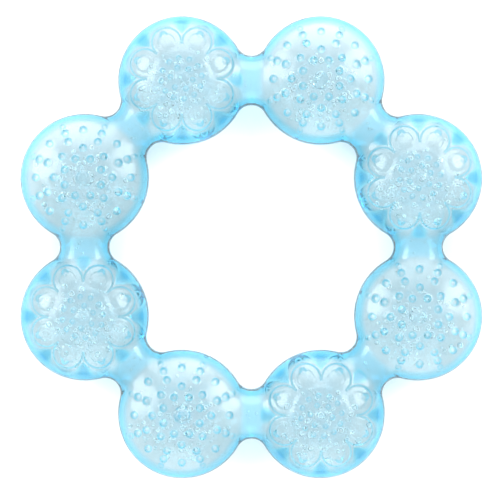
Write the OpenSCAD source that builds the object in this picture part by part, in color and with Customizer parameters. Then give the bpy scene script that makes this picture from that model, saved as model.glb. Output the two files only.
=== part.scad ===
// Water-filled teething ring: eight hollow beads joined by hollow necks, moulded as a front and
// a back shell that meet on a tongue-and-groove seam at mid-height, and closed by one fill plug.
// The ring lies flat on z = 0 on the bosses of its back shell, centred on the Z axis.

/* [Ring] */
// Number of beads around the ring, flowers and dots in turn
bead_count = 8; // [8:1:8]
// Radius of the circle through the bead centres
ring_r = 37.5; // [37.2:0.1:38]
// Radius of one bead, seen from above
bead_r = 13.4; // [13.2:0.1:13.5]
// Half the thickness of a bead, without its bumps
bead_h = 7; // [6.9:0.05:7.05]
// Radius of the rounded rim of a bead, seen from the side
rim_r = 5; // [4.95:0.05:5.05]

/* [Necks] */
// Half the width of a neck at its waist
neck_w = 5.15; // [5:0.05:5.3]
// Half the thickness of a neck
neck_h = 4.2; // [4:0.1:4.4]

/* [Shells] */
// Wall thickness of both shells
wall = 1.3; // [1.1:0.05:1.4]
// Width of the tongue along the seam
tongue_w = 0.5; // [0.4:0.05:0.6]
// Height of the tongue along the seam
tongue_h = 0.6; // [0.4:0.1:0.8]
// Clearance on each side of the tongue
tongue_gap = 0.03; // [0.02:0.01:0.05]
// Space left between the liquid and the walls, which stands for the air left inside
air_gap = 0.05; // [0.02:0.01:0.1]

/* [Bumps] */
// Height of the flat bosses that the ring rests on, above the bead
boss_h = 0.6; // [0.55:0.05:0.8]
// Radius of the flat boss in the middle of every bead
boss_r = 1.2; // [1:0.05:1.3]
// Height of a massaging nub above the surface under it
nub_h = 0.4; // [0.3:0.05:0.5]
// Radius of a massaging nub
nub_r = 0.75; // [0.6:0.05:0.8]
// Height of the small dots in the middle of a flower, above the petals
dot_h = 0.15; // [0.1:0.05:0.2]
// Radius of the small dots in the middle of a flower
dot_r = 0.52; // [0.4:0.02:0.55]

/* [Flowers] */
// Height of the petals above the bead
petal_h = 0.4; // [0.3:0.05:0.45]
// Radius of the round end of a petal
petal_r = 3.2; // [3.18:0.01:3.3]
// Distance of the petal ends' centres from the middle of the bead
petal_reach = 8.2; // [8.1:0.05:8.25]
// Distance of the nub on each petal from the middle of the bead
petal_nub_at = 9.8; // [9.5:0.1:10]

/* [Fill plug] */
// Radius of the filling hole and of the plug's shank
plug_shank_r = 0.7; // [0.5:0.05:0.8]
// Depth of the seat that the plug's head sits in
plug_seat = 0.4; // [0.3:0.05:0.5]
// Clearance around the plug's head in its seat
plug_gap = 0.03; // [0.02:0.01:0.05]

/* [Hidden] */
$fn = 48;

shell_tint = [0.62, 0.87, 0.97, 0.55];
water_tint = [0.86, 0.94, 1, 0.6];
plug_tint = [0.5, 0.8, 0.95];

turn = 360 / bead_count;
half_chord = ring_r * sin(turn / 2);
neck_at = ring_r * cos(turn / 2);
lift = bead_h + boss_h;
plug_bead = 5;
// More than the height of anything on the ring, for cuts that go right through.
tall = 4 * bead_h;

// The neck's hollow sides are arcs that run into the bead's outline. An arc of radius fillet_touch
// would just touch the bead, so it is made a little larger to cross the outline cleanly.
fillet_touch = (half_chord ^ 2 + neck_w ^ 2 - bead_r ^ 2) / (2 * (bead_r - neck_w));
fillet_r = fillet_touch + 0.06;
fillet_at = neck_w + fillet_r;

// The crown of a bead is part of a ball that runs smoothly into the rounded rim at crown_edge.
rim_at = bead_r - rim_r;
crown_r = (rim_at ^ 2 + bead_h ^ 2 - rim_r ^ 2) / (2 * (bead_h - rim_r));
crown_z = bead_h - crown_r;
crown_edge = rim_at * crown_r / (crown_r - rim_r);

// Rings of nubs: distance from the bead's middle, number, and angle of the first one from the
// outward direction. The necks lie halfway between two nubs of the outermost ring.
nub_rings = [
    [4.05, 8, 0],
    [6.05, 8, turn / 2],
    [7.9, 8, 0],
    [9.8, 16, 0],
    [11.4, 8, 0]
];
dot_rings = [
    [2.3, 6, 0],
    [4.2, 12, 15]
];
petal_nubs = [[petal_nub_at, bead_count, 0]];

function is_flower(i) = i % 2 == 0;

// Height and tilt of a bead's surface at a distance from its middle.
function surface_z(d) =
    d < crown_edge
    ? crown_z + sqrt(crown_r ^ 2 - d ^ 2)
    : sqrt(rim_r ^ 2 - (d - rim_at) ^ 2);
function surface_tilt(d) =
    d < crown_edge
    ? asin(d / crown_r)
    : asin((d - rim_at) / rim_r);

// Places its children at bead i, with +X pointing away from the ring's centre.
module at_bead(i) {
    rotate((i + 0.5) * turn) translate([ring_r, 0, 0]) children();
}

// Places its children at every neck, with +X along the neck.
module at_necks() {
    for (i = [0:bead_count - 1])
        rotate(i * turn) translate([neck_at, 0, 0]) rotate(90) children();
}

// Half of a bead's section, to be turned about its middle: the crown's sector and the rim's.
// A positive inset shrinks the bead on every side, and a negative one grows it.
module bead_section(inset) {
    far = 3 * crown_r;
    rim_mid = [rim_at, 0];
    lean = [rim_at, -crown_z] / norm([rim_at, -crown_z]);
    intersection() {
        translate([0, crown_z]) circle(crown_r - inset);
        polygon([[0, 0], rim_mid, rim_mid + far * lean, [0, far]]);
    }
    intersection() {
        translate(rim_mid) circle(rim_r - inset);
        polygon([rim_mid, rim_mid + far * lean, [far, far], [far, 0]]);
    }
}

module bead_half(inset) {
    rotate_extrude() bead_section(inset);
}

// The kite between two bead centres and the two fillet centres, which holds one neck.
module neck_kite() {
    polygon([[-half_chord, 0], [0, fillet_at], [half_chord, 0], [0, -fillet_at]]);
}

// What hollows out one side of a neck: its edge is rounded to the neck's half thickness.
module neck_side_cut(inset) {
    h = neck_h - inset;
    tube_at = fillet_r + inset + h;
    rotate_extrude() difference() {
        translate([0, -h]) square([tube_at, 3 * h]);
        translate([tube_at, 0]) circle(h);
    }
}

module neck_half(inset) {
    difference() {
        linear_extrude(neck_h - inset) neck_kite();
        for (side = [-1, 1])
            translate([0, side * fillet_at, 0]) neck_side_cut(inset);
    }
}

// Half of the ring as a solid: its outside at inset 0, its cavity at inset wall.
module ring_half(inset) {
    for (i = [0:bead_count - 1])
        at_bead(i) bead_half(inset);
    at_necks() neck_half(inset);
}

// The ring's outline at the seam.
module outline(inset) {
    for (i = [0:bead_count - 1])
        at_bead(i) circle(bead_r - inset);
    at_necks() difference() {
        neck_kite();
        for (side = [-1, 1])
            translate([0, side * fillet_at]) circle(fillet_r + inset);
    }
}

// The rib that runs along the middle of the seam, both outside and around the opening.
module seam_rib(gap) {
    edge = (wall - tongue_w) / 2 - gap;
    difference() {
        outline(edge);
        outline(wall - edge);
    }
}

// One nub: a ball sunk into the surface at distance d and angle a, standing rise proud of it.
module nub(d, a, r, rise) {
    tilt = surface_tilt(d);
    out = rise - r;
    rotate(a) translate([d + out * sin(tilt), 0, surface_z(d) + out * cos(tilt)]) sphere(r);
}

module nubs(rings, r, rise) {
    for (ring = rings, k = [0:ring[1] - 1])
        nub(ring[0], ring[2] + k * 360 / ring[1], r, rise);
}

module boss() {
    translate([0, 0, bead_h - wall / 2]) cylinder(r = boss_r, h = wall / 2 + boss_h);
}

module petal_outline() {
    circle(petal_reach * cos(turn / 2));
    for (k = [0:bead_count - 1])
        rotate(k * turn) translate([petal_reach, 0]) circle(petal_r);
}

module flower() {
    intersection() {
        translate([0, 0, wall]) linear_extrude(tall) petal_outline();
        bead_half(-petal_h);
    }
    nubs(petal_nubs, nub_r, petal_h + nub_h / 2);
    nubs(dot_rings, dot_r, petal_h + dot_h);
}

module bumps(i) {
    if (is_flower(i)) flower();
    else nubs(nub_rings, nub_r, nub_h);
}

// One shell with its seam on z = 0. The bead without_boss has its middle left bare.
module shell_half(without_boss) {
    difference() {
        union() {
            ring_half(0);
            for (i = [0:bead_count - 1]) at_bead(i) {
                bumps(i);
                if (i != without_boss) boss();
            }
        }
        ring_half(wall);
    }
}

module plug_hole() {
    translate([0, 0, bead_h - plug_seat]) cylinder(r = boss_r + plug_gap, h = tall);
    cylinder(r = plug_shank_r, h = tall);
}

module front_shell() {
    color(shell_tint) translate([0, 0, lift]) {
        shell_half(-1);
        translate([0, 0, -tongue_h]) linear_extrude(tongue_h) seam_rib(0);
    }
}

module back_shell() {
    color(shell_tint) translate([0, 0, lift]) mirror([0, 0, 1]) difference() {
        shell_half(plug_bead);
        translate([0, 0, -tongue_h]) linear_extrude(2 * tongue_h + tongue_gap) seam_rib(tongue_gap);
        at_bead(plug_bead) plug_hole();
    }
}

// The liquid fills the eight bead chambers and the necks between them as one body.
module water_fill() {
    color(water_tint) translate([0, 0, lift]) {
        ring_half(wall + air_gap);
        mirror([0, 0, 1]) ring_half(wall + air_gap);
    }
}

// The plug's head is the boss of its bead, and its shank ends flush with the inside of the wall.
module fill_plug() {
    color(plug_tint) at_bead(plug_bead) {
        cylinder(r = boss_r, h = boss_h + plug_seat);
        cylinder(r = plug_shank_r, h = boss_h + wall);
    }
}

front_shell();
back_shell();
water_fill();
fill_plug();
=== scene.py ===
"""Teething ring: two clear blue shells welded around a bubbly water filling, lying flat."""

import math

import bmesh
import bpy
import numpy as np
from mathutils import Matrix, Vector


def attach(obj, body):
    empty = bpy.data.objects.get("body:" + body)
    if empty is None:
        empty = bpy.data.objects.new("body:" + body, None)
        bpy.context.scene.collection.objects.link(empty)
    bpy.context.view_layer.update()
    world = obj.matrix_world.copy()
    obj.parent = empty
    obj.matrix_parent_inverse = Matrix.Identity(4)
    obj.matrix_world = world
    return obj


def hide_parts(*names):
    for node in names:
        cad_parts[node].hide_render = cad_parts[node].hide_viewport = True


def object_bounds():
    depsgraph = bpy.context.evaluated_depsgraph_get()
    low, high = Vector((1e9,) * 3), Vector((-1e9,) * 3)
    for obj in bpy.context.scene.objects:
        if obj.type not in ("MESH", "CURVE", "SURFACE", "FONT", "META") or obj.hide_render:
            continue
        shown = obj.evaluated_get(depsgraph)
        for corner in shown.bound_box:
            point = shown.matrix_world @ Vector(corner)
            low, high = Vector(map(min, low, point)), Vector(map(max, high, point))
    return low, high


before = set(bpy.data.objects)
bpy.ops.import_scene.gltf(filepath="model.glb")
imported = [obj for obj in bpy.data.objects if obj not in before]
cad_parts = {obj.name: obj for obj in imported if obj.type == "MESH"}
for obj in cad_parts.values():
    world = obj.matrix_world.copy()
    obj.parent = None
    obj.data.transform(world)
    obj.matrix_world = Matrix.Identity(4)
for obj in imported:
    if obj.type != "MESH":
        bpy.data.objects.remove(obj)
cad_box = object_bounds()

# ---------------------------------------------------------------- sizes, in millimetres
MM = 0.001
BEADS = 8
TURN = math.tau / BEADS
LOW, HIGH = (np.array(corner) / MM for corner in cad_box)
LIFT = (HIGH[2] - LOW[2]) / 2
SEAM_Z = (HIGH[2] + LOW[2]) / 2
BOSS_H = 0.6
BOSS_R = 1.2
# Where a boss's rounded side ends, beyond its radius and within it.
BOSS_FOOT = 0.15
BOSS_TOP = 0.2
BEAD_H = LIFT - BOSS_H
BEAD_R = 13.4
RIM_R = 5.0
RING_R = ((HIGH[0] - LOW[0]) / 2 - BEAD_R) / math.cos(TURN / 2)
NECK_W = 5.15
NECK_H = 4.2
# Share of its height over which a neck runs softly into its bead.
NECK_SOFT = 0.35
WALL = 1.3
AIR_GAP = 0.05
TONGUE_W = 0.5
TONGUE_H = 0.6
TONGUE_GAP = 0.03

HALF_CHORD = RING_R * math.sin(TURN / 2)
NECK_AT = RING_R * math.cos(TURN / 2)
NECK_TURN = math.pi / 2 + TURN / 2
FILLET_R = (HALF_CHORD**2 + NECK_W**2 - BEAD_R**2) / (2 * (BEAD_R - NECK_W))
FILLET_AT = NECK_W + FILLET_R
KITE = math.atan2(FILLET_AT, HALF_CHORD)
KITE_SIDE = math.hypot(FILLET_AT, HALF_CHORD)
RIM_AT = BEAD_R - RIM_R
CROWN_R = (RIM_AT**2 + BEAD_H**2 - RIM_R**2) / (2 * (BEAD_H - RIM_R))
CROWN_Z = BEAD_H - CROWN_R
CROWN_TILT = math.asin(RIM_AT / (CROWN_R - RIM_R))

# Rings of bumps: distance from the bead's middle, how many, and the angle of the first one.
NUB_RINGS = [(4.05, 8, 0), (6.05, 8, TURN / 2), (7.9, 8, 0), (9.8, 16, 0)]
EDGE_NUBS = [(11.3, 8, 0)]
PETAL_NUBS = [(9.8, 8, 0)]
DOT_RINGS = [(2.3, 6, 0), (4.2, 12, TURN / 3)]
NUB_H = 0.4
NUB_R = 0.8
DOT_H = 0.2
DOT_R = 0.55
# How softly bumps run out, in front and behind, and the share of their height behind.
BUMP_POWER = 1.2
BACK_POWER = 1.5
BACK_RISE = 0.4
BACK_INNER_RISE = 0.8

# Petals: their round ends, and the width of their rounded edge in front, behind and inside.
PETAL_H = 0.4
PETAL_R = 3.2
PETAL_REACH = 8.2
PETAL_EDGE = 0.6
BACK_PETAL_EDGE = 1.5
INNER_PETAL_EDGE = 1.2
INNER_PETAL_H = 0.28
PETAL_POWER = 2.2
# The second step on a petal: its share of the height, and where it starts and ends.
STEP_SHARE = 0.25
STEP_FROM = 1.2
STEP_TO = STEP_FROM + 0.7
# How much lower a petal is at its end, and from where.
PETAL_FADE = 0.45
FADE_FROM = 9.0
FADE_TO = 11.4

PLUG_BEAD = 5
PLUG_SEAT = 0.4
PLUG_SHANK_R = 0.7
PLUG_GAP = 0.02
PLUG_ROUND = 0.12
PLUG_CORNER = 0.04
PLUG_SIDES = 48
# Keeps the plug's foot and the paper it stands on from being one surface.
FLOOR_GAP = 0.02
FLOOR_SIDE = 2400

# Bubbles in a bead: the smallest radius, what is added to it, and how rare the big ones are.
BEAD_BUBBLES = 155
BUBBLE_TRIES = 4000
BUBBLE_R = 0.18
BUBBLE_MORE = 0.5
BUBBLE_POWER = 2.2
# How they spread across and along the bead, how low they gather, and how far out they lie.
BUBBLES_ACROSS = 5.2
BUBBLES_ALONG = 4.4
BUBBLES_DOWN = -3.0
BUBBLE_REACH = 10.2
# The share of them that floats under the front wall, and the room left there and between them.
BUBBLES_AFLOAT = 0.7
PETAL_ROOM = 0.35
WALL_ROOM = 0.1
BUBBLE_ROOM = 0.05
# Bubbles in a neck: their radii, and how far they lie along it, across it and above its middle.
NECK_BUBBLES = 4
NECK_BUBBLE_R = (0.12, 0.3)
NECK_ALONG = 1.6
NECK_ACROSS = 1.8
NECK_RISE = (0.3, 1)
NECK_ROOM = 0.5
# Rings of faces in the smallest ball, and how much radius brings one more.
BALL_RINGS = 3
BALL_STEP = 0.14

# Cells across half a bead on the outside, on the inside and on the water.
OUTER_CELLS = 96
INNER_CELLS = 48
WATER_CELLS = 32
# How strongly the grid lines gather at the angles of the nubs, how many angles those are, and
# over which share of the way from a bead's middle the lines start to gather.
GATHER = 0.45
NUB_ANGLES = 16
GATHER_IN = (0.1, 0.3)
# Points closer than this are sewn into one, and edges with more of a turn than this are sharp.
SEWN_WITHIN = 0.001
SHARP_FROM = math.radians(60)

# ---------------------------------------------------------------- looks
# How much light bends in EVA and in water. A face between the two carries the ratio.
EVA = 1.48
WATER = 1.33
# Faces that bend light more than this lie on a shell's outside, or on a bubble in the water.
OUTSIDE_BEND = 1.3
BUBBLE_BEND = 1.2

# Colour that light takes on inside, and how fast.
EVA_TINT = (0.2, 0.87, 0.985)
EVA_DENSITY = 135
WATER_TINT = (0.9, 0.6, 0.5)
WATER_DENSITY = 14

# The shells' surface, from clearest to deepest, and where on that scale the middle two lie.
EVA_CLEAR = (0.967, 0.936, 0.938)
EVA_PALE = (0.952, 0.922, 0.930)
EVA_BLUE = (0.30, 0.84, 1.0)
EVA_DEEP = (0.10, 0.50, 0.85)
PALE_AT = 0.1
BLUE_AT = 0.55
# How far the bluer rim reaches in from the outline, and how blue the necks are.
RIM_WIDTH = 2.8
RIM_FULL = 0.3
NECK_BLUE = 0.33
NECK_FROM = 11.0
NECK_TO = 13.5
# How edge on a face is seen where it starts to turn blue and where it is bluest, and how blue.
STEEP_FROM = 0.12
STEEP_TO = 0.6
STEEP_SHARE = 0.9
# Outside, a little light is scattered, and the gloss varies with a fine grain.
EVA_HAZE = 0.05
GRAIN_SCALE = 260
GRAIN_DETAIL = 3
GRAIN_H = 0.012
GRAIN_SPAN = (0.3, 0.7)
ROUGH_SPAN = (0.02, 0.06)
# How edge on a bubble's face is seen where its painted highlight, a diffuse white ring, starts and
# where it is whitest.
HIGHLIGHT_FROM = 0.3
HIGHLIGHT_TO = 0.8

# Crisp caps on the bumps: their radius, height and bluntness, and their share of it by kind.
CAP_R = 0.8
CAP_H = 0.32
CAP_POWER = 0.7
EDGE_CAP_R = 0.8
EDGE_CAP_H = 0.4
PETAL_CAP_H = 0.6
DOT_CAP_H = 0.7
BACK_SHARE = 0.4
# Steps of the petals' height: where they start inside the outline, their width and their height.
PETAL_LINES = [(-0.05, 0.5, 0.26), (1.25, 0.45, 0.12)]
# How blue edges and petal lines turn, partly for EVA seen edge on and partly as painted shade where
# their real edges refract darker light, and how dark the painted shade in the wedges between petals
# is.
EDGE_BLUE_AND_SHADE = 0.42
PETAL_LINE_BLUE_AND_SHADE = 1.2
WEDGE_SHADE = 3.4
# A wedge of painted shade lies beside the petals, within an angle of the notch between two of them.
WEDGE_BESIDE = (-0.1, -0.5)
WEDGE_NOTCH = (0.21, 0.03)
# Distances from the bead's middle over which these come in, and over which they run out.
LINE_IN = (6.0, 8.0)
WEDGE_IN = (8.2, 10.4)
WEDGE_OUT = (13.0, 11.6)
CLEARER_IN = (5.0, 8.0)
CLEARER_OUT = (12.0, 10.5)

# Patches of light: azimuth, height, reach and soft edge in degrees, and strength.
PATCHES = [
    (160, 45, 12, 9, 6.5),
    (25, 45, 12, 9, 6.5),
    (90, 32, 20, 16, 4.2),
    (270, 28, 18, 14, 2.4),
    (92, 80, 45, 15, 1.3),
]
SKY = 0.5
PAPER = 0.93
PAPER_ROUGHNESS = 0.9

# The camera looks straight down: what it takes in from side to side, and its middle, in metres.
LENS = 200
SENSOR = 36
VIEW_WIDTH = 0.1039
VIEW_X = -0.0003
VIEW_Y = -0.0006
BOUNCES = 32


# ---------------------------------------------------------------- surfaces
def smoothstep(low, high, x):
    t = np.clip((x - low) / (high - low), 0, 1)
    return t * t * (3 - 2 * t)


def bead_height(d, inset):
    """Height above the seam of a bead's surface at distance d from its middle."""
    crown_edge = (CROWN_R - inset) * math.sin(CROWN_TILT)
    crown = CROWN_Z + np.sqrt(np.maximum((CROWN_R - inset) ** 2 - d**2, 0))
    rim = np.sqrt(np.maximum((RIM_R - inset) ** 2 - (d - RIM_AT) ** 2, 0))
    return np.where(d < crown_edge, crown, rim)


def bead_tilt(d):
    """Tilt of a bead's outside at distance d from its middle."""
    crown = np.arcsin(np.clip(d / CROWN_R, 0, 1))
    rim = np.arcsin(np.clip((d - RIM_AT) / RIM_R, 0, 1))
    return np.where(crown < CROWN_TILT, crown, rim)


def neck_height(d, off, inset):
    """Height of the neck's web at distance d from the bead's middle and angle off from the neck."""
    half = NECK_H - inset
    reach = np.hypot(HALF_CHORD - d * np.cos(off), FILLET_AT - d * np.sin(off))
    short = np.clip(FILLET_R + NECK_H - reach, 0, half)
    return np.sqrt(np.maximum(half**2 - short**2, 0))


def edge_radius(off, inset):
    """Distance from the bead's middle to the outline, or to the middle of the neck, at angle off."""
    corner = math.atan((NECK_W - inset) / HALF_CHORD)
    flat = HALF_CHORD / np.cos(np.minimum(off, corner))
    lean = np.clip(KITE - off, 0, None)
    gap = np.maximum((FILLET_R + inset) ** 2 - (KITE_SIDE * np.sin(lean)) ** 2, 0)
    arc = KITE_SIDE * np.cos(lean) - np.sqrt(gap)
    return np.where(off <= corner + 1e-9, flat, np.where(off < KITE, arc, BEAD_R - inset))


def edge_gap(d, off):
    """Distance from the outline, seen from above, at distance d and angle off from the neck."""
    reach = np.hypot(HALF_CHORD - d * np.cos(off), FILLET_AT - d * np.sin(off))
    return np.where(off < KITE, reach - FILLET_R, BEAD_R - d)


def section_radius(t, inset):
    """Distance from the middle after the share t of the way along a bead's section."""
    crown_way = (CROWN_R - inset) * CROWN_TILT
    rim_way = (RIM_R - inset) * (math.pi / 2 - CROWN_TILT)
    way = t * (crown_way + rim_way)
    crown = (CROWN_R - inset) * np.sin(np.minimum(way, crown_way) / (CROWN_R - inset))
    turned = CROWN_TILT + np.maximum(way - crown_way, 0) / (RIM_R - inset)
    return np.where(way < crown_way, crown, RIM_AT + (RIM_R - inset) * np.sin(turned))


def ring_bumps(x, y, rings, radius, height, power):
    """Rounded bumps in rings: the height that they add at x, y."""
    total = np.zeros_like(x)
    for at, count, first in rings:
        for k in range(count):
            turn = first + k * math.tau / count
            gap2 = (x - at * math.cos(turn)) ** 2 + (y - at * math.sin(turn)) ** 2
            total += height * np.clip(1 - gap2 / radius**2, 0, 1) ** power
    return total


def petal_depth(x, y):
    """How far x, y lies inside the outline of a flower, negative outside it."""
    inside = PETAL_REACH * math.cos(TURN / 2) - np.hypot(x, y)
    for k in range(BEADS):
        mid_x = PETAL_REACH * math.cos(k * TURN)
        mid_y = PETAL_REACH * math.sin(k * TURN)
        inside = np.maximum(inside, PETAL_R - np.hypot(x - mid_x, y - mid_y))
    return inside


def petals(x, y, height, edge):
    """Height of a flower's puffed petals at x, y: a rounded step, and a second one inside it."""
    inside = petal_depth(x, y)
    outer = 1 - (1 - np.clip(inside / edge, 0, 1)) ** PETAL_POWER
    inner = smoothstep(STEP_FROM, STEP_TO, inside)
    fade = 1 - PETAL_FADE * smoothstep(FADE_FROM, FADE_TO, np.hypot(x, y))
    return height * fade * ((1 - STEP_SHARE) * outer + STEP_SHARE * inner)


def flower_bumps(x, y, power, rise, edge):
    """The petals, the nubs on them and the dots in the middle of a flower."""
    bumps = petals(x, y, PETAL_H, edge)
    bumps += ring_bumps(x, y, PETAL_NUBS, NUB_R, rise * NUB_H / 2, power)
    bumps += ring_bumps(x, y, DOT_RINGS, DOT_R, rise * DOT_H, power)
    return bumps


def dotted_bumps(x, y, power, rise, inner_rise):
    """The nubs of a dotted bead."""
    bumps = ring_bumps(x, y, NUB_RINGS[:-1], NUB_R, inner_rise * NUB_H, power)
    bumps += ring_bumps(x, y, NUB_RINGS[-1:], NUB_R, rise * NUB_H, power)
    bumps += ring_bumps(x, y, EDGE_NUBS, NUB_R, rise * NUB_H / 2, BACK_POWER)
    return bumps


def outside_bumps(x, y, flower, upside_down, plugged):
    """Everything that stands proud of one bead, softer on the back shell."""
    power = BACK_POWER if upside_down else BUMP_POWER
    rise = BACK_RISE if upside_down else 1
    if flower:
        bumps = flower_bumps(x, y, power, rise, BACK_PETAL_EDGE if upside_down else PETAL_EDGE)
    else:
        bumps = dotted_bumps(x, y, power, rise, BACK_INNER_RISE if upside_down else 1)
    middle = smoothstep(BOSS_R + BOSS_FOOT, BOSS_R - BOSS_TOP, np.hypot(x, y))
    boss = 0 if plugged else BOSS_H
    return bumps * (1 - middle) + boss * middle


def inside_bumps(x, y, flower):
    """How far the cavity's wall is pushed out under a flower's petals."""
    return petals(x, y, INNER_PETAL_H, INNER_PETAL_EDGE) if flower else np.zeros_like(x)


def grid_angles(cells, inset):
    """Radius share and angle of each grid point, with grid lines on the corners of the necks."""
    line = np.linspace(-1, 1, cells + 1)
    u, v = np.meshgrid(line, line, indexing="ij")
    share = np.maximum(abs(u), abs(v))
    with np.errstate(divide="ignore", invalid="ignore"):
        across = np.where(u > 0, 0, math.pi) + math.pi / 4 * v / u
        along = np.where(v > 0, math.pi / 2, -math.pi / 2) - math.pi / 4 * u / v
    angle = np.where(abs(u) >= abs(v), across, along)
    angle = np.where(share == 0, 0, (angle + math.pi) % math.tau - math.pi)
    corner = math.atan((NECK_W - inset) / HALF_CHORD)
    steps = [(0, 0), (TURN / 2, corner), (TURN * 3 / 4, KITE)]
    before = [(NECK_TURN - a, NECK_TURN - b) for a, b in reversed(steps[1:])]
    after = [(NECK_TURN + a, NECK_TURN + b) for a, b in steps]
    knots = [(0, 0), *before, *after, (math.pi, math.pi)]
    plain, moved = zip(*knots)
    angle = np.sign(angle) * np.interp(abs(angle), plain, moved)
    gather = GATHER * (1 - share**8) * smoothstep(*GATHER_IN, share)
    return share, angle - gather * np.sin(NUB_ANGLES * angle) / NUB_ANGLES


def half_bead(cells, inset, bumps):
    """Grid of points on half a bead and its two half necks, in the bead's own frame."""
    share, angle = grid_angles(cells, inset)
    off = abs(abs(angle) - NECK_TURN)
    d = edge_radius(off, inset) / (BEAD_R - inset) * section_radius(share, inset)
    bead = bead_height(d, inset)
    neck = np.where(off < KITE, neck_height(d, off, inset), 0)
    blend = NECK_SOFT * np.maximum(bead, neck) * np.clip(1 - (off / KITE) ** 2, 0, 1)
    soft = np.maximum(blend - abs(bead - neck), 0) ** 2 / (4 * np.maximum(blend, 1e-9))
    height = np.maximum(bead, neck) + soft
    on_seam = (share == 1) & (off > math.atan((NECK_W - inset) / HALF_CHORD) - 1e-6)
    height[on_seam] = 0
    x, y = d * np.cos(angle), d * np.sin(angle)
    rise = bumps(x, y)
    tilt = bead_tilt(d)
    x = x + rise * np.sin(tilt) * np.cos(angle)
    y = y + rise * np.sin(tilt) * np.sin(angle)
    return np.stack([x, y, height + rise * np.cos(tilt)], axis=-1)


# ---------------------------------------------------------------- mesh building
class Builder:
    """Collects points and faces in millimetres and turns them into one smooth mesh object."""

    def __init__(self):
        self.points, self.tints, self.faces, self.bends, self.count = [], [], [], [], 0

    def add(self, points, faces, bend, tint=0.0):
        """Adds faces, whose boundary bends light by the index bend, and how blue their points are."""
        self.points.append(np.asarray(points, float).reshape(-1, 3))
        self.tints.append(np.zeros(len(self.points[-1])) + np.ravel(tint))
        self.faces += [tuple(int(i) + self.count for i in face) for face in faces]
        self.bends += bend if isinstance(bend, list) else [bend] * len(faces)
        self.count += len(self.points[-1])

    def build(self, name, material):
        """Sews the points that meet and gives the mesh its sharp edges, attributes and material."""
        mesh = bpy.data.meshes.new(name)
        mesh.from_pydata((np.concatenate(self.points) * MM).tolist(), [], self.faces)
        mesh.attributes.new("bend", "FLOAT", "FACE").data.foreach_set("value", self.bends)
        tints = np.concatenate(self.tints)
        mesh.attributes.new("rim", "FLOAT", "POINT").data.foreach_set("value", tints)
        sewn = bmesh.new()
        sewn.from_mesh(mesh)
        bmesh.ops.remove_doubles(sewn, verts=sewn.verts, dist=SEWN_WITHIN * MM)
        sewn.to_mesh(mesh)
        sewn.free()
        mesh.shade_smooth()
        mesh.set_sharp_from_angle(angle=SHARP_FROM)
        mesh.materials.append(material)
        mesh.update()
        piece = bpy.data.objects.new(name, mesh)
        bpy.context.scene.collection.objects.link(piece)
        return piece


def bead_middle(i, height):
    """Middle of bead i at this height, in the ring's frame."""
    angle = (i + 0.5) * TURN
    return np.array([RING_R * math.cos(angle), RING_R * math.sin(angle), height])


def place(points, i, upside_down):
    """Points of bead i's own frame, in the ring's frame."""
    flip = np.diag([1, 1, -1 if upside_down else 1])
    spin = np.array(Matrix.Rotation((i + 0.5) * TURN, 3, "Z"))
    return points @ (spin @ flip).T + bead_middle(i, SEAM_Z)


def grid_faces(cells, flip):
    """Faces between the points of a square grid, facing up or, flipped, down."""
    row = cells + 1
    faces = []
    for a in range(cells):
        for b in range(cells):
            quad = (a * row + b, (a + 1) * row + b, (a + 1) * row + b + 1, a * row + b + 1)
            faces.append(quad[::-1] if flip else quad)
    return faces


def rim_share(cells, inset):
    """How blue each point of a half bead's grid is: 1 on the outline, some of it in the necks."""
    share, angle = grid_angles(cells, inset)
    off = abs(abs(angle) - NECK_TURN)
    d = edge_radius(off, inset) / (BEAD_R - inset) * section_radius(share, inset)
    blue = smoothstep(RIM_WIDTH, RIM_FULL, edge_gap(d, off))
    neck = NECK_BLUE * smoothstep(NECK_FROM, NECK_TO, d) * (off < KITE)
    return np.maximum(blue, neck)


def rim_line(cells, inset):
    """The outline of a bead at the seam, from one neck to the other on either side of it."""
    points = half_bead(cells, inset, lambda x, y: np.zeros_like(x))
    share, angle = grid_angles(cells, inset)
    on_edge = share == 1
    order = np.argsort(angle[on_edge])
    ring, turns = points[on_edge][order], angle[on_edge][order]
    corner = math.atan((NECK_W - inset) / HALF_CHORD)
    away = abs(abs(turns) - NECK_TURN) > corner - 1e-6
    outer = away & (abs(turns) < NECK_TURN)
    back = away & (abs(turns) > NECK_TURN)
    behind = np.concatenate([ring[back & (turns > 0)], ring[back & (turns < 0)]])
    return [line * [1, 1, 0] for line in (ring[outer], behind)]


def add_seam(builder, i, upside_down, tongue):
    """The flat face where the shells meet, with its tongue or groove."""
    edge = (WALL - TONGUE_W) / 2
    gap = 0 if tongue else TONGUE_GAP
    deep = -TONGUE_H if tongue else TONGUE_H + TONGUE_GAP
    insets = [edge - gap, edge - gap, WALL - edge + gap, WALL - edge + gap, WALL]
    depths = [0, deep, deep, 0, 0]
    for side in range(2):
        fine = rim_line(OUTER_CELLS, 0)[side]
        rows = []
        for inset, depth in zip(insets, depths):
            rows.append(rim_line(INNER_CELLS, inset)[side] + [0, 0, depth])
        count = len(rows[0])
        points = np.concatenate([fine, *rows])
        start = len(fine)
        faces = []
        for k in range(count - 1):
            faces.append((2 * k, 2 * k + 1, 2 * k + 2, start + k + 1, start + k))
            for r in range(len(rows) - 1):
                a, b = start + r * count + k, start + (r + 1) * count + k
                faces.append((a, a + 1, b + 1, b))
        if not upside_down:
            faces = [face[::-1] for face in faces]
        builder.add(place(points, i, upside_down), faces, 1.0, 1.0)


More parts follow.
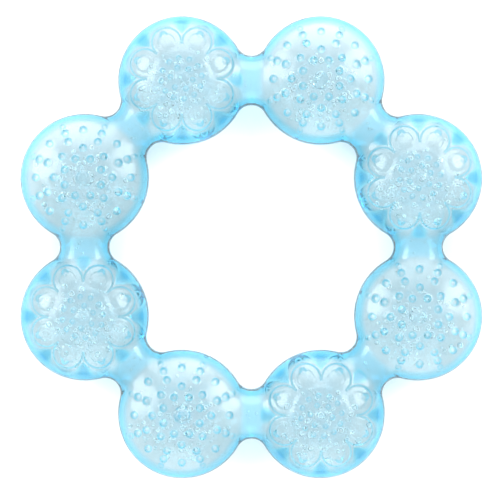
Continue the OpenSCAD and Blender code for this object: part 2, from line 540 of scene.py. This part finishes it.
def make_shell(name, material, upside_down):
    """One moulded shell: its outside with the bumps, its inside, and its edge along the seam."""
    builder = Builder()
    for i in range(BEADS):
        flower = i % 2 == 0
        plugged = upside_down and i == PLUG_BEAD
        outside = half_bead(
            OUTER_CELLS, 0, lambda x, y: outside_bumps(x, y, flower, upside_down, plugged)
        )
        inside = half_bead(INNER_CELLS, WALL, lambda x, y: inside_bumps(x, y, flower))
        builder.add(
            place(outside.reshape(-1, 3), i, upside_down),
            grid_faces(OUTER_CELLS, upside_down),
            EVA,
            rim_share(OUTER_CELLS, 0),
        )
        builder.add(
            place(inside.reshape(-1, 3), i, upside_down),
            grid_faces(INNER_CELLS, not upside_down),
            EVA / WATER,
            rim_share(INNER_CELLS, WALL),
        )
        add_seam(builder, i, upside_down, tongue=not upside_down)
    return builder.build(name, material)


def lathe(builder, profile, bends, mid):
    """Turns a profile of distance and height about the upright line through mid."""
    sides = PLUG_SIDES
    points, faces, face_bends = [], [], []
    for r, z in profile:
        for k in range(sides):
            turn = k * math.tau / sides
            points.append(mid + [r * math.cos(turn), r * math.sin(turn), z])
    for a in range(len(profile) - 1):
        for k in range(sides):
            b = (k + 1) % sides
            faces.append((a * sides + k, a * sides + b, (a + 1) * sides + b, (a + 1) * sides + k))
            face_bends.append(bends[a])
    last = (len(profile) - 1) * sides
    faces.append(tuple(reversed(range(sides))))
    face_bends.append(bends[0])
    faces.append(tuple(last + k for k in range(sides)))
    face_bends.append(bends[-1])
    builder.add(points, faces, face_bends)


def plug_foot():
    """Foot of the plug's axis, on the plane that the ring lies on."""
    return bead_middle(PLUG_BEAD, SEAM_Z - LIFT)


def make_plug(material):
    """The plug: a rounded head that fills its seat, and a shank through the wall."""
    head = BOSS_H + PLUG_SEAT - PLUG_GAP
    end = BOSS_H + WALL
    profile = [
        (BOSS_R - PLUG_ROUND, FLOOR_GAP),
        (BOSS_R - PLUG_CORNER, FLOOR_GAP + PLUG_CORNER * 3 / 4),
        (BOSS_R, FLOOR_GAP + PLUG_ROUND),
        (BOSS_R, BOSS_H),
        (BOSS_R, head),
        (PLUG_SHANK_R, head),
        (PLUG_SHANK_R, end),
    ]
    builder = Builder()
    lathe(builder, profile, [EVA, EVA, EVA, 1.0, 1.0, 1.0, EVA / WATER], plug_foot())
    return builder.build("fill_plug_moulded", material)


def drill_plug_seat(shell):
    """Cuts the plug's seat and hole through the wall of the back shell."""
    seat = BOSS_H + PLUG_SEAT
    wide, narrow = BOSS_R + PLUG_GAP, PLUG_SHANK_R + PLUG_GAP
    profile = [(wide, -1), (wide, seat), (narrow, seat), (narrow, BOSS_H + WALL + 1)]
    builder = Builder()
    lathe(builder, profile, [1.0] * len(profile), plug_foot())
    cutter = builder.build("plug_cutter", shell.data.materials[0])
    cut = shell.modifiers.new("seat", "BOOLEAN")
    cut.operation = "DIFFERENCE"
    cut.solver = "EXACT"
    cut.object = cutter
    finished = shell.evaluated_get(bpy.context.evaluated_depsgraph_get())
    mesh = bpy.data.meshes.new_from_object(finished)
    shell.modifiers.clear()
    mesh.set_sharp_from_angle(angle=SHARP_FROM)
    shell.data = mesh
    bpy.data.objects.remove(cutter)


def ball(mid, radius, rings):
    """Points and faces of a ball, facing inwards."""
    around = 2 * rings
    points = [mid + [0, 0, radius]]
    for a in range(1, rings):
        polar = math.pi * a / rings
        out, up = math.sin(polar), math.cos(polar)
        for b in range(around):
            turn = math.tau * b / around
            points.append(mid + radius * np.array([out * math.cos(turn), out * math.sin(turn), up]))
    points.append(mid - [0, 0, radius])
    last = len(points) - 1
    faces = []
    for b in range(around):
        c = (b + 1) % around
        faces.append((0, 1 + c, 1 + b))
        faces.append((last, last - around + b, last - around + c))
        for a in range(rings - 2):
            low, high = 1 + a * around, 1 + (a + 1) * around
            faces.append((low + b, low + c, high + c, high + b))
    return points, faces


def bubble_places(rng, i):
    """Middles and radii of the bubbles in bead i, in the ring's frame, most of them low down."""
    mid = bead_middle(i, SEAM_Z)
    found = []
    for _ in range(BUBBLE_TRIES):
        if len(found) >= BEAD_BUBBLES:
            break
        radius = BUBBLE_R + BUBBLE_MORE * rng.random() ** BUBBLE_POWER
        across = rng.normal(0, BUBBLES_ACROSS)
        along = rng.normal(BUBBLES_DOWN, BUBBLES_ALONG)
        d = math.hypot(across, along)
        if d > BUBBLE_REACH:
            continue
        ceiling = float(bead_height(np.array(d), WALL + PETAL_ROOM)) - radius - WALL_ROOM
        rise = ceiling * (1 if rng.random() < BUBBLES_AFLOAT else rng.uniform(-1, 1))
        spot = np.array([across, along, rise])
        if all(np.linalg.norm(spot - other) > radius + r + BUBBLE_ROOM for other, r in found):
            found.append((spot, radius))
    return [(mid + spot, radius) for spot, radius in found]


def neck_bubble_places(rng, i):
    """Middles and radii of the few small bubbles in neck i, in the ring's frame."""
    angle = i * TURN
    along = np.array([-math.sin(angle), math.cos(angle), 0])
    across = np.array([math.cos(angle), math.sin(angle), 0])
    found = []
    for _ in range(NECK_BUBBLES):
        radius = rng.uniform(*NECK_BUBBLE_R)
        spot = along * rng.uniform(-NECK_ALONG, NECK_ALONG)
        spot = spot + across * rng.uniform(-NECK_ACROSS, NECK_ACROSS)
        rise = rng.uniform(*NECK_RISE) * (NECK_H - WALL - NECK_ROOM - radius)
        found.append((across * NECK_AT + spot + [0, 0, SEAM_Z + rise], radius))
    return found


def make_water(material):
    """The liquid, which fills the chambers and necks, with bubbles of air as hollows in it."""
    builder = Builder()
    for i in range(BEADS):
        flower = i % 2 == 0
        half = half_bead(WATER_CELLS, WALL + AIR_GAP, lambda x, y: inside_bumps(x, y, flower))
        for upside_down in (False, True):
            points = place(half.reshape(-1, 3), i, upside_down)
            builder.add(points, grid_faces(WATER_CELLS, upside_down), 1.0)
    rng = np.random.default_rng(8)
    for i in range(BEADS):
        for mid, radius in bubble_places(rng, i) + neck_bubble_places(rng, i):
            points, faces = ball(mid, radius, BALL_RINGS + math.ceil(radius / BALL_STEP))
            builder.add(points, faces, WATER)
    return builder.build("water_fill_bubbly", material)


# ---------------------------------------------------------------- sums in a node tree
def calc(tree, operation, *values):
    """One sum in the node tree, of sockets and plain numbers; returns its result's socket."""
    node = tree.nodes.new("ShaderNodeMath")
    node.operation = operation
    for slot, value in zip(node.inputs, values):
        if isinstance(value, bpy.types.NodeSocket):
            tree.links.new(value, slot)
        else:
            slot.default_value = value
    return node.outputs[0]


def spread(tree, value, low, high, to_low, to_high, kind="LINEAR"):
    """Maps the range low to high onto the range to_low to to_high, and stops at its ends."""
    node = tree.nodes.new("ShaderNodeMapRange")
    node.interpolation_type = kind
    node.inputs["From Min"].default_value = low
    node.inputs["From Max"].default_value = high
    node.inputs["To Min"].default_value = to_low
    node.inputs["To Max"].default_value = to_high
    tree.links.new(value, node.inputs["Value"])
    return node.outputs["Result"]


def ramp(tree, value, low, high):
    """Smooth rise from 0 at low to 1 at high, or fall where low is the greater."""
    if low < high:
        return spread(tree, value, low, high, 0, 1, "SMOOTHSTEP")
    return spread(tree, value, high, low, 1, 0, "SMOOTHSTEP")


def seen_edge_on(tree):
    """The node that tells how nearly edge on a face is seen."""
    node = tree.nodes.new("ShaderNodeLayerWeight")
    node.inputs["Blend"].default_value = 0.5
    return node


def bead_polar(tree):
    """Distance from the nearest bead's middle in mm, angle there, flower or not, front or not."""
    coords = tree.nodes.new("ShaderNodeTexCoord")
    parts = tree.nodes.new("ShaderNodeSeparateXYZ")
    tree.links.new(coords.outputs["Object"], parts.inputs[0])
    x = calc(tree, "DIVIDE", parts.outputs["X"], MM)
    y = calc(tree, "DIVIDE", parts.outputs["Y"], MM)
    around = calc(tree, "ARCTAN2", y, x)
    reach = calc(tree, "SQRT", calc(tree, "MULTIPLY_ADD", x, x, calc(tree, "MULTIPLY", y, y)))
    lean = calc(tree, "WRAP", calc(tree, "SUBTRACT", around, TURN / 2), TURN / 2, -TURN / 2)
    out = calc(tree, "SUBTRACT", calc(tree, "MULTIPLY", reach, calc(tree, "COSINE", lean)), RING_R)
    side = calc(tree, "MULTIPLY", reach, calc(tree, "SINE", lean))
    apart = calc(tree, "MULTIPLY_ADD", out, out, calc(tree, "MULTIPLY", side, side))
    pair = calc(tree, "WRAP", around, 2 * TURN, 0)
    flower = calc(tree, "LESS_THAN", pair, TURN)
    front = calc(tree, "GREATER_THAN", parts.outputs["Z"], SEAM_Z * MM)
    return calc(tree, "SQRT", apart), calc(tree, "ARCTAN2", side, out), flower, front


def ring_gap2(tree, d, phi, at, count, first):
    """Square of the distance to the nearest of count spots in a ring, in the node tree."""
    step = math.tau / count
    lean = calc(tree, "WRAP", calc(tree, "SUBTRACT", phi, first), step / 2, -step / 2)
    across = calc(tree, "MULTIPLY", calc(tree, "COSINE", lean), -2 * at)
    near = calc(tree, "MULTIPLY_ADD", d, d, at * at)
    return calc(tree, "MULTIPLY_ADD", across, d, near)


def edge_of(tree, share):
    """1 where a share is halfway between 0 and 1, falling to 0 at both."""
    rest = calc(tree, "SUBTRACT", 4, calc(tree, "MULTIPLY", share, 4))
    return calc(tree, "MULTIPLY", share, rest)


# ---------------------------------------------------------------- materials
def crisp_rings(tree, d, phi, rings, radius, height):
    """Crisp round caps in rings, and the edge of each one, which turns bluer partly as painted shade,
    in the node tree.
    """
    total, blue_and_shade_marks = 0.0, 0.0
    for at, count, first in rings:
        gap2 = ring_gap2(tree, d, phi, at, count, first)
        inside = calc(tree, "SUBTRACT", 1, calc(tree, "DIVIDE", gap2, radius**2))
        inside = calc(tree, "MAXIMUM", inside, 0)
        total = calc(tree, "MULTIPLY_ADD", calc(tree, "POWER", inside, CAP_POWER), height, total)
        # The edges of the caps get a bluer tint, partly as painted shade.
        blue_and_shade_marks = calc(tree, "ADD", edge_of(tree, inside), blue_and_shade_marks)
    return total, blue_and_shade_marks


def painted_wedge_shade(tree, d, phi, inside):
    """Painted shade: darker blue wedges in the notches between the petals, in the node tree."""
    beside = ramp(tree, inside, *WEDGE_BESIDE)
    within = calc(tree, "MULTIPLY", ramp(tree, d, *WEDGE_IN), ramp(tree, d, *WEDGE_OUT))
    lean = calc(tree, "WRAP", calc(tree, "SUBTRACT", phi, TURN / 2), TURN / 2, -TURN / 2)
    notch = ramp(tree, calc(tree, "ABSOLUTE", lean), *WEDGE_NOTCH)
    return calc(tree, "MULTIPLY", beside, calc(tree, "MULTIPLY", within, notch))


def crisp_petals(tree, d, phi):
    """Crisp outline of the petals and the line inside it, and what is bluer there: the lines partly
    as painted shade, the wedges between petals as painted shade.
    """
    gap2 = ring_gap2(tree, d, phi, PETAL_REACH, BEADS, 0)
    end = calc(tree, "SUBTRACT", PETAL_R, calc(tree, "SQRT", calc(tree, "MAXIMUM", gap2, 0)))
    middle = calc(tree, "SUBTRACT", PETAL_REACH * math.cos(TURN / 2), d)
    inside = calc(tree, "MAXIMUM", end, middle)
    total, blue_and_shade_marks = 0.0, 0.0
    outer_part = ramp(tree, d, *LINE_IN)
    for start, width, height in PETAL_LINES:
        step = ramp(tree, inside, start, start + width)
        if start > 0:
            step = calc(tree, "MULTIPLY", step, outer_part)
        total = calc(tree, "MULTIPLY_ADD", step, height, total)
        # Petal lines turn bluer, partly as painted shade.
        blue_and_shade_marks = calc(tree, "MULTIPLY_ADD", edge_of(tree, step), PETAL_LINE_BLUE_AND_SHADE * height, blue_and_shade_marks)
    # Painted shade in the wedges between the petals.
    wedge = painted_wedge_shade(tree, d, phi, inside)
    return total, calc(tree, "MULTIPLY_ADD", wedge, WEDGE_SHADE, blue_and_shade_marks)


def crisp_bumps(tree, bend):
    """Height in mm of the crisp detail outside a shell, where its edges get a bluer tint and painted
    shade and its wedges painted shade, and where it's clear.
    """
    d, phi, flower, front = bead_polar(tree)
    dotted = crisp_rings(tree, d, phi, NUB_RINGS, CAP_R, CAP_H)
    at_edge = crisp_rings(tree, d, phi, EDGE_NUBS, CAP_R * EDGE_CAP_R, CAP_H * EDGE_CAP_H)
    on_petals = crisp_rings(tree, d, phi, PETAL_NUBS, CAP_R, CAP_H * PETAL_CAP_H)
    dots = crisp_rings(tree, d, phi, DOT_RINGS, DOT_R, CAP_H * DOT_CAP_H)
    lines = crisp_petals(tree, d, phi)
    outside = calc(tree, "GREATER_THAN", bend, OUTSIDE_BEND)
    share = calc(tree, "MULTIPLY_ADD", front, 1 - BACK_SHARE, BACK_SHARE)
    share = calc(tree, "MULTIPLY", share, outside)
    found = []
    for nub, edge_nub, petal_nub, dot, line in zip(dotted, at_edge, on_petals, dots, lines):
        spots = calc(tree, "ADD", nub, edge_nub)
        blossom = calc(tree, "ADD", line, calc(tree, "ADD", petal_nub, dot))
        change = calc(tree, "SUBTRACT", blossom, spots)
        mixed = calc(tree, "MULTIPLY_ADD", change, flower, spots)
        found.append(calc(tree, "MULTIPLY", mixed, share))
    clearer = calc(tree, "MULTIPLY", ramp(tree, d, *CLEARER_IN), ramp(tree, d, *CLEARER_OUT))
    return *found, clearer


def clear_material(name, tint, density):
    """Clear stuff whose faces say how much they bend light, with colour in its depth."""
    material = bpy.data.materials.new(name)
    material.use_nodes = True
    nodes, links = material.node_tree.nodes, material.node_tree.links
    nodes.clear()
    out = nodes.new("ShaderNodeOutputMaterial")
    glass = nodes.new("ShaderNodeBsdfPrincipled")
    glass.inputs["Base Color"].default_value = (1, 1, 1, 1)
    glass.inputs["Roughness"].default_value = 0
    glass.inputs["Transmission Weight"].default_value = 1
    bend = nodes.new("ShaderNodeAttribute")
    bend.attribute_name = "bend"
    links.new(bend.outputs["Fac"], glass.inputs["IOR"])
    depth = nodes.new("ShaderNodeVolumeAbsorption")
    depth.inputs["Color"].default_value = (*tint, 1)
    depth.inputs["Density"].default_value = density
    links.new(glass.outputs[0], out.inputs["Surface"])
    links.new(depth.outputs[0], out.inputs["Volume"])
    return material, glass, bend.outputs["Fac"]


def bubbly_water(name):
    """Clear water whose bubbles turn diffuse white where they are seen edge on, as a painted
    highlight ring.
    """
    material, glass, bend = clear_material(name, WATER_TINT, WATER_DENSITY)
    tree = material.node_tree
    facing = seen_edge_on(tree).outputs["Facing"]
    # Painted highlight: bubble faces seen edge on turn diffuse white.
    painted_highlight = spread(tree, facing, HIGHLIGHT_FROM, HIGHLIGHT_TO, 0, 1)
    is_bubble = calc(tree, "GREATER_THAN", bend, BUBBLE_BEND)
    clear = calc(tree, "SUBTRACT", 1.0, calc(tree, "MULTIPLY", painted_highlight, is_bubble))
    tree.links.new(clear, glass.inputs["Transmission Weight"])
    return material


def fine_grain(tree):
    """A fine grain in the shells, as a socket."""
    coords = tree.nodes.new("ShaderNodeTexCoord")
    grain = tree.nodes.new("ShaderNodeTexNoise")
    grain.inputs["Scale"].default_value = GRAIN_SCALE
    grain.inputs["Detail"].default_value = GRAIN_DETAIL
    tree.links.new(coords.outputs["Object"], grain.inputs["Vector"])
    return grain.outputs["Fac"]


def eva_relief(tree, height):
    """The direction that a surface with this height in mm faces, as a socket."""
    bump = tree.nodes.new("ShaderNodeBump")
    bump.inputs["Strength"].default_value = 1.0
    bump.inputs["Distance"].default_value = MM
    tree.links.new(height, bump.inputs["Height"])
    return bump.outputs["Normal"]


def eva_colour(tree, blue_and_shade_marks, clearer, normal):
    """Bluer along the rim and where it is seen edge on, bluer at crisp edges partly as painted shade,
    and with painted shade in the wedges between petals, as a socket.
    """
    rim = tree.nodes.new("ShaderNodeAttribute")
    rim.attribute_name = "rim"
    edge_on = seen_edge_on(tree)
    tree.links.new(normal, edge_on.inputs["Normal"])
    steep = spread(tree, edge_on.outputs["Facing"], STEEP_FROM, STEEP_TO, 0, STEEP_SHARE)
    most = calc(tree, "MAXIMUM", rim.outputs["Fac"], steep)
    # Crisp edges turn bluer, partly as painted shade, and the wedges between petals turn darker blue
    # as painted shade.
    most = calc(tree, "MULTIPLY_ADD", blue_and_shade_marks, EDGE_BLUE_AND_SHADE, most)
    plain = calc(tree, "MULTIPLY_ADD", clearer, -PALE_AT, PALE_AT)
    left = calc(tree, "MULTIPLY_ADD", calc(tree, "MINIMUM", most, 1), -1, 1)
    depth = calc(tree, "MULTIPLY_ADD", most, BLUE_AT, calc(tree, "MULTIPLY", plain, left))
    blue = tree.nodes.new("ShaderNodeValToRGB")
    blue.color_ramp.elements[0].color = (*EVA_CLEAR, 1)
    blue.color_ramp.elements[1].color = (*EVA_DEEP, 1)
    blue.color_ramp.elements.new(PALE_AT).color = (*EVA_PALE, 1)
    blue.color_ramp.elements.new(BLUE_AT).color = (*EVA_BLUE, 1)
    tree.links.new(depth, blue.inputs["Fac"])
    return blue.outputs["Color"]


def moulded_eva(name):
    """Soft clear EVA: bluer along the rim and where it is seen edge on, with painted shade at crisp
    edges and in the wedges between petals, a little hazy outside.
    """
    material, glass, bend = clear_material(name, EVA_TINT, EVA_DENSITY)
    tree = material.node_tree
    detail, blue_and_shade_marks, clearer = crisp_bumps(tree, bend)
    grain = fine_grain(tree)
    normal = eva_relief(tree, calc(tree, "MULTIPLY_ADD", grain, GRAIN_H, detail))
    clear = spread(tree, bend, EVA / WATER, EVA, 1.0, 1 - EVA_HAZE)
    tree.links.new(eva_colour(tree, blue_and_shade_marks, clearer, normal), glass.inputs["Base Color"])
    tree.links.new(clear, glass.inputs["Transmission Weight"])
    tree.links.new(spread(tree, grain, *GRAIN_SPAN, *ROUGH_SPAN), glass.inputs["Roughness"])
    tree.links.new(normal, glass.inputs["Normal"])
    return material


# ---------------------------------------------------------------- stage
def make_floor():
    """The pale paper that the ring lies on."""
    half = FLOOR_SIDE * MM / 2
    mesh = bpy.data.meshes.new("floor")
    corners = [(-half, -half, 0), (half, -half, 0), (half, half, 0), (-half, half, 0)]
    mesh.from_pydata(corners, [], [(0, 1, 2, 3)])
    floor = bpy.data.objects.new("floor", mesh)
    bpy.context.scene.collection.objects.link(floor)
    material = bpy.data.materials.new("floor_paper")
    material.use_nodes = True
    paper = material.node_tree.nodes["Principled BSDF"]
    paper.inputs["Base Color"].default_value = (PAPER, PAPER, PAPER, 1)
    paper.inputs["Roughness"].default_value = PAPER_ROUGHNESS
    paper.inputs["Specular IOR Level"].default_value = 0
    mesh.materials.append(material)


def light_patch(tree, azimuth, height, reach, edge, strength):
    """A soft-edged round patch of light in the studio, around a direction in degrees."""
    flat = math.cos(math.radians(height))
    toward = (
        flat * math.cos(math.radians(azimuth)),
        flat * math.sin(math.radians(azimuth)),
        math.sin(math.radians(height)),
    )
    way = tree.nodes.new("ShaderNodeTexCoord")
    near = tree.nodes.new("ShaderNodeVectorMath")
    near.operation = "DOT_PRODUCT"
    near.inputs[1].default_value = toward
    tree.links.new(way.outputs["Generated"], near.inputs[0])
    outermost = math.cos(math.radians(reach + edge))
    full = math.cos(math.radians(reach - edge))
    return spread(tree, near.outputs["Value"], outermost, full, 0, strength, "SMOOTHSTEP")


def make_lights():
    """An even pale sky with brighter patches, as softboxes in a studio."""
    world = bpy.data.worlds.new("studio")
    bpy.context.scene.world = world
    world.use_nodes = True
    tree = world.node_tree
    sky = tree.nodes["Background"]
    sky.inputs["Color"].default_value = (1, 1, 1, 1)
    total = SKY
    for patch in PATCHES:
        total = calc(tree, "ADD", light_patch(tree, *patch), total)
    tree.links.new(total, sky.inputs["Strength"])


def make_camera():
    """A long lens straight above the ring, and what the clear pieces need of the renderer."""
    scene = bpy.context.scene
    data = bpy.data.cameras.new("camera")
    data.lens = LENS
    data.sensor_width = SENSOR
    camera = bpy.data.objects.new("camera", data)
    away = VIEW_WIDTH * LENS / SENSOR
    camera.location = (VIEW_X, VIEW_Y, SEAM_Z * MM + away)
    scene.collection.objects.link(camera)
    scene.camera = camera
    scene.view_settings.view_transform = "Standard"
    scene.cycles.max_bounces = BOUNCES
    scene.cycles.transmission_bounces = BOUNCES
    scene.cycles.transparent_max_bounces = BOUNCES


make_camera()
make_lights()
make_floor()
shell_stuff = moulded_eva("shell_eva")
water_stuff = bubbly_water("water")
front = make_shell("front_shell_moulded", shell_stuff, upside_down=False)
back = make_shell("back_shell_moulded", shell_stuff, upside_down=True)
drill_plug_seat(back)
water = make_water(water_stuff)
plug = make_plug(moulded_eva("plug_eva"))
pieces = [
    (front, "front_shell", "shell"),
    (back, "back_shell", "shell"),
    (water, "water_fill", "water"),
    (plug, "fill_plug", "plug"),
]
for piece, node, slot in pieces:
    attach(piece, "root")
    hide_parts(node)
